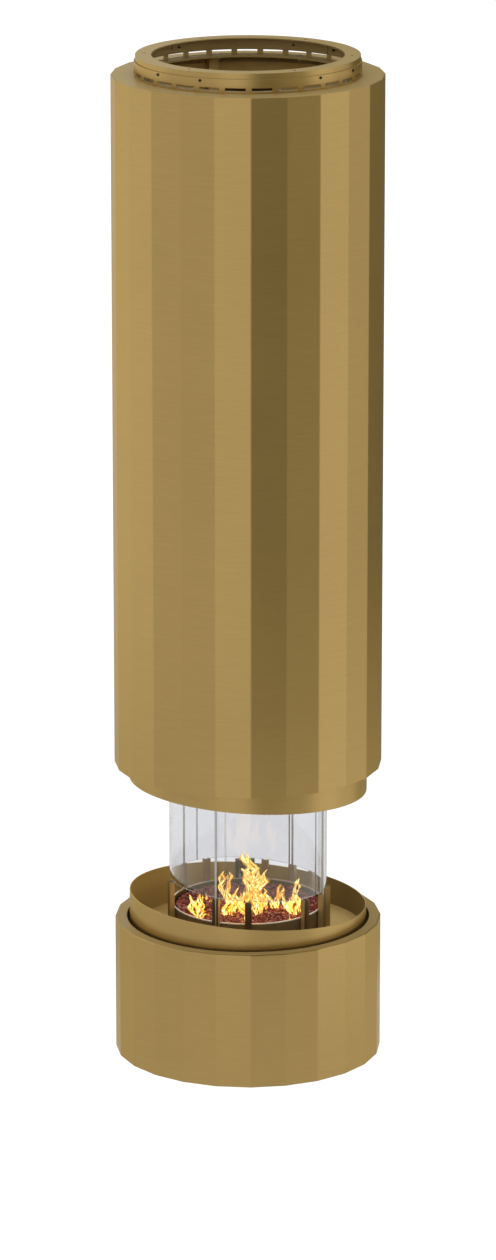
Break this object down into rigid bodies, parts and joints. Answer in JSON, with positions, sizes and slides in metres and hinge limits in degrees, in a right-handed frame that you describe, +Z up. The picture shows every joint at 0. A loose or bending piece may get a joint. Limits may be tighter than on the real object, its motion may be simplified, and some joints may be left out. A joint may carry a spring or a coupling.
{
  "type": "hanging fireplace",
  "caption": "Tall many-sided gas fireplace hung from a slotted ceiling ring, with a sliding glass cylinder cut on a slant over a burner pan in a tray and pot.",
  "frame": {"origin": "centre of the ceiling ring's top face, on the ceiling plane", "axes": "+Z up along the fireplace's axis; +X towards the low side of the slanted glass, hood and tray"},
  "size_m": [0.7, 0.7, 2.654],
  "materials": {
    "brass_gold": "satin",
    "dark_brown": "satin",
    "steel": "satin",
    "stainless": "satin",
    "black_oxide": "satin",
    "clear_glass": "polished",
    "lava_stone": "matte",
    "brass_fitting": "satin",
    "graphite": "matte",
    "ceramic_white": "satin",
    "cast_alloy": "satin",
    "red_lever": "gloss",
    "black_plastic": "satin"
  },
  "bodies": {
    "root": {"ceiling_ring": "brass_gold", "vent_collar": "brass_gold", "collar_screws": "black_oxide", "casing_top_plate": "brass_gold", "flange_bolts": "stainless", "casing_front": "brass_gold", "casing_rear": "brass_gold", "seam_straps": "steel", "hanger_bars": "steel", "bulkhead_plate": "steel", "hood_plate": "brass_gold", "hood_collar": "brass_gold", "smoke_chamber": "stainless", "smoke_cone": "stainless", "flue_pipe": "stainless", "pipe_spider": "steel", "damper_bushes": "stainless", "suspension_rods": "stainless", "rod_nuts": "stainless", "glass_posts": "dark_brown", "hearth_tray": "brass_gold", "burner_pan": "dark_brown", "pan_rim": "stainless", "bed_grate": "stainless", "lava_bed": "lava_stone", "burner_ring": "stainless", "venturi_tube": "stainless", "gas_jet": "brass_fitting", "pilot_shield": "dark_brown", "pilot_burner": "stainless", "ignition_electrode": "ceramic_white", "pilot_pipe": "cast_alloy", "pot_shell": "brass_gold", "pot_frame": "steel", "base_plate": "brass_gold", "base_screws": "black_oxide", "hatch_hinge": "stainless", "hatch_catches": "black_oxide", "gas_inlet": "brass_fitting", "inlet_bracket": "steel", "gas_pipes": "stainless", "shutoff_valve": "brass_fitting", "gas_valve": "cast_alloy", "valve_bracket": "steel", "control_box": "black_plastic"},
    "glass": {"glass_carrier": "stainless", "clamp_ring": "stainless", "carrier_screws": "black_oxide", "guide_bushes": "graphite", "glass_panel_1": "clear_glass", "glass_panel_2": "clear_glass", "glass_panel_3": "clear_glass", "glass_panel_4": "clear_glass"},
    "damper": {"damper_spindle": "stainless", "damper_plate": "stainless", "damper_lever": "steel"},
    "valve_knob": {"valve_knob": "black_plastic"},
    "shutoff_lever": {"shutoff_lever": "red_lever"},
    "service_hatch": {"service_hatch": "brass_gold"},
    "air_shutter": {"air_shutter": "stainless"}
  },
  "joints": [
    {"name": "glass_lift", "type": "slide", "parent": "root", "child": "glass", "axis": [0, 0, 1], "range_m": [0, 0.235]},
    {"name": "damper_turn", "type": "hinge", "parent": "root", "child": "damper", "pos_m": [0, 0, -1.254], "axis": [1, 0, 0], "range_deg": [0, 90]},
    {"name": "knob_turn", "type": "hinge", "parent": "root", "child": "valve_knob", "pos_m": [0.03, 0.0373, -2.544], "axis": [0, 1, 0], "range_deg": [0, 180]},
    {"name": "shutoff_turn", "type": "hinge", "parent": "root", "child": "shutoff_lever", "pos_m": [-0.135, 0, -2.52], "axis": [0, 0, -1], "range_deg": [0, 90]},
    {"name": "hatch_swing", "type": "hinge", "parent": "root", "child": "service_hatch", "pos_m": [0, 0.231, -2.651], "axis": [1, 0, 0], "range_deg": [0, 100]},
    {"name": "shutter_turn", "type": "hinge", "parent": "root", "child": "air_shutter", "pos_m": [0, 0, -2.46], "axis": [0, 0, 1], "range_deg": [0, 45]}
  ]
}
